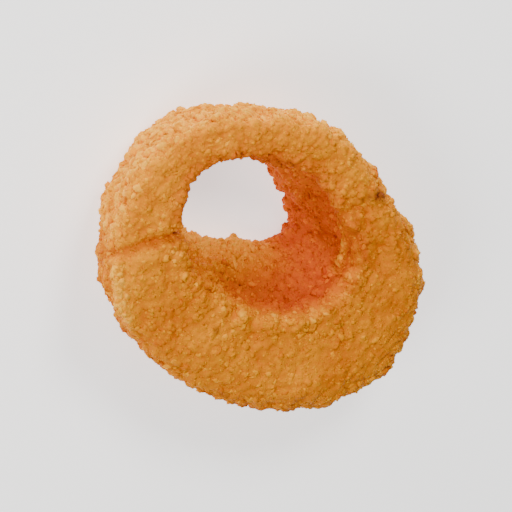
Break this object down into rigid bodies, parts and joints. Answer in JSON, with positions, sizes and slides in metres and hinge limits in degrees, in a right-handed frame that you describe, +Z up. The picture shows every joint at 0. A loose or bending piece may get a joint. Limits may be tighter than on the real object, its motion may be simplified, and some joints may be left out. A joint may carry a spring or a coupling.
{
  "type": "onion ring",
  "caption": "Deep-fried breaded onion ring: a thick, uneven crumb-coated band round an open middle, lying flat with its wider opening up.",
  "frame": {"origin": "on the surface the ring lies on, under the middle of its outline", "axes": "+Z up through the open middle, +Y along the longer way across, towards the thickest part of the wall"},
  "size_m": [0.0638, 0.0786, 0.0242],
  "materials": {
    "fried_crust": "golden fried crumb coating, rough, with a slight oily sheen"
  },
  "bodies": {
    "root": {"onion_ring": "fried_crust"}
  },
  "joints": []
}
